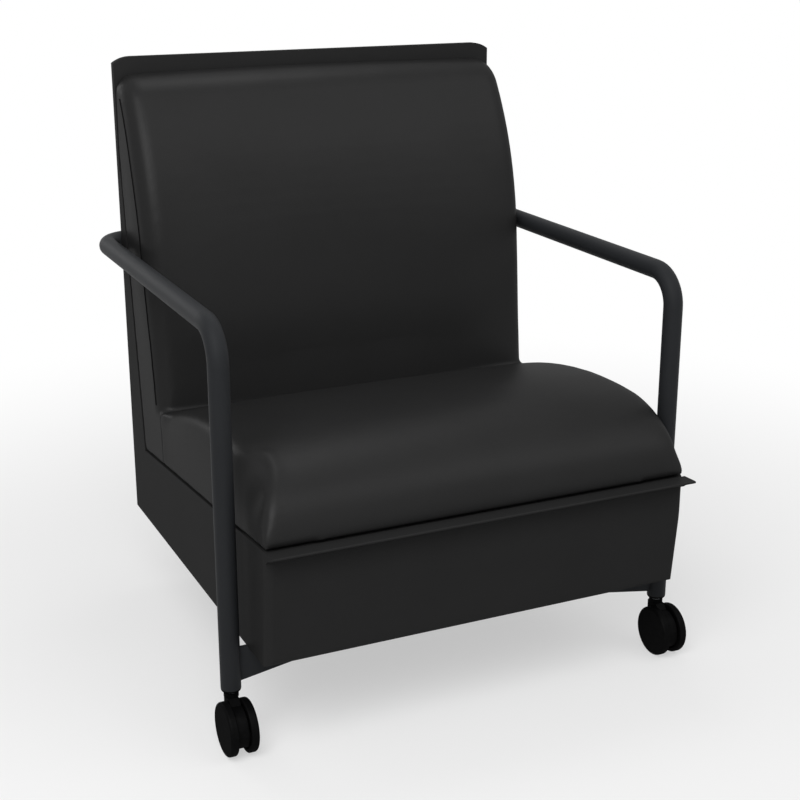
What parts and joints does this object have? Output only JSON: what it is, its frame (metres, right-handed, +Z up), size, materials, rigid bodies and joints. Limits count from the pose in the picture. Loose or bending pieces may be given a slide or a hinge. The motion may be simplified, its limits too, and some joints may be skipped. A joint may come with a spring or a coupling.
{
  "type": "mobile lounge chair",
  "caption": "Wide upholstered lounge chair with reclined back, domed seat and a bent-tube arm frame, rolling on swivelling twin-wheel casters.",
  "frame": {"origin": "on the floor, midway between the chair's outermost faces", "axes": "+Z up, the front of the seat faces -Y, +X to the right as seen from the front"},
  "size_m": [0.7754, 0.7534, 0.934],
  "materials": {
    "frame_paint": "dark blue-grey powder coat, satin",
    "shell_cover": "charcoal coated fabric, fine grain, matt",
    "cushion_cover": "charcoal coated fabric, fine grain, matt",
    "timber": "raw plywood",
    "dust_cloth": "black non-woven sheet",
    "plated_steel": "bright zinc",
    "caster_black": "black moulded nylon",
    "wheel_black": "black moulded nylon, smooth"
  },
  "bodies": {
    "chair": {"frame_tube": "frame_paint", "front_crossmember": "frame_paint", "rear_crossmember": "frame_paint", "side_rail_left": "frame_paint", "side_rail_right": "frame_paint", "rear_leg_left": "frame_paint", "rear_leg_right": "frame_paint", "rail_screws": "plated_steel", "base_bolts": "plated_steel", "rail_saddles": "caster_black", "front_panel": "shell_cover", "front_lip": "shell_cover", "rear_panel": "shell_cover", "side_panel_left": "shell_cover", "side_panel_right": "shell_cover", "base_front_rail": "timber", "base_rear_rail": "timber", "base_runner_left": "timber", "base_runner_right": "timber", "seat_deck": "timber", "back_board": "timber", "back_mount_rail": "timber", "dust_cover": "dust_cloth", "seat_cushion": "cushion_cover", "back_cushion": "cushion_cover", "caster_front_left_socket": "caster_black", "caster_front_right_socket": "caster_black", "caster_rear_left_socket": "caster_black", "caster_rear_right_socket": "caster_black"},
    "caster_front_left": {"caster_front_left_body": "caster_black", "caster_front_left_stem": "plated_steel", "caster_front_left_axle": "plated_steel"},
    "caster_front_left_wheel_left": {"caster_front_left_wheel_left": "wheel_black"},
    "caster_front_left_wheel_right": {"caster_front_left_wheel_right": "wheel_black"},
    "caster_front_right": {"caster_front_right_body": "caster_black", "caster_front_right_stem": "plated_steel", "caster_front_right_axle": "plated_steel"},
    "caster_front_right_wheel_left": {"caster_front_right_wheel_left": "wheel_black"},
    "caster_front_right_wheel_right": {"caster_front_right_wheel_right": "wheel_black"},
    "caster_rear_left": {"caster_rear_left_body": "caster_black", "caster_rear_left_stem": "plated_steel", "caster_rear_left_axle": "plated_steel"},
    "caster_rear_left_wheel_left": {"caster_rear_left_wheel_left": "wheel_black"},
    "caster_rear_left_wheel_right": {"caster_rear_left_wheel_right": "wheel_black"},
    "caster_rear_right": {"caster_rear_right_body": "caster_black", "caster_rear_right_stem": "plated_steel", "caster_rear_right_axle": "plated_steel"},
    "caster_rear_right_wheel_left": {"caster_rear_right_wheel_left": "wheel_black"},
    "caster_rear_right_wheel_right": {"caster_rear_right_wheel_right": "wheel_black"}
  },
  "joints": [
    {"name": "caster_front_left_swivel", "type": "hinge", "parent": "chair", "child": "caster_front_left", "pos_m": [-0.366, -0.25575, 0.09], "axis": [0, 0, 1], "continuous": true},
    {"name": "caster_front_left_wheel_left_spin", "type": "hinge", "parent": "caster_front_left", "child": "caster_front_left_wheel_left", "pos_m": [-0.366, -0.27725, 0.04], "axis": [1, 0, 0], "continuous": true},
    {"name": "caster_front_left_wheel_right_spin", "type": "hinge", "parent": "caster_front_left", "child": "caster_front_left_wheel_right", "pos_m": [-0.366, -0.27725, 0.04], "axis": [1, 0, 0], "continuous": true},
    {"name": "caster_front_right_swivel", "type": "hinge", "parent": "chair", "child": "caster_front_right", "pos_m": [0.366, -0.25575, 0.09], "axis": [0, 0, 1], "continuous": true},
    {"name": "caster_front_right_wheel_left_spin", "type": "hinge", "parent": "caster_front_right", "child": "caster_front_right_wheel_left", "pos_m": [0.366, -0.27725, 0.04], "axis": [1, 0, 0], "continuous": true},
    {"name": "caster_front_right_wheel_right_spin", "type": "hinge", "parent": "caster_front_right", "child": "caster_front_right_wheel_right", "pos_m": [0.366, -0.27725, 0.04], "axis": [1, 0, 0], "continuous": true},
    {"name": "caster_rear_left_swivel", "type": "hinge", "parent": "chair", "child": "caster_rear_left", "pos_m": [-0.205, 0.25425, 0.09], "axis": [0, 0, 1], "continuous": true},
    {"name": "caster_rear_left_wheel_left_spin", "type": "hinge", "parent": "caster_rear_left", "child": "caster_rear_left_wheel_left", "pos_m": [-0.205, 0.23275, 0.04], "axis": [1, 0, 0], "continuous": true},
    {"name": "caster_rear_left_wheel_right_spin", "type": "hinge", "parent": "caster_rear_left", "child": "caster_rear_left_wheel_right", "pos_m": [-0.205, 0.23275, 0.04], "axis": [1, 0, 0], "continuous": true},
    {"name": "caster_rear_right_swivel", "type": "hinge", "parent": "chair", "child": "caster_rear_right", "pos_m": [0.205, 0.25425, 0.09], "axis": [0, 0, 1], "continuous": true},
    {"name": "caster_rear_right_wheel_left_spin", "type": "hinge", "parent": "caster_rear_right", "child": "caster_rear_right_wheel_left", "pos_m": [0.205, 0.23275, 0.04], "axis": [1, 0, 0], "continuous": true},
    {"name": "caster_rear_right_wheel_right_spin", "type": "hinge", "parent": "caster_rear_right", "child": "caster_rear_right_wheel_right", "pos_m": [0.205, 0.23275, 0.04], "axis": [1, 0, 0], "continuous": true}
  ]
}
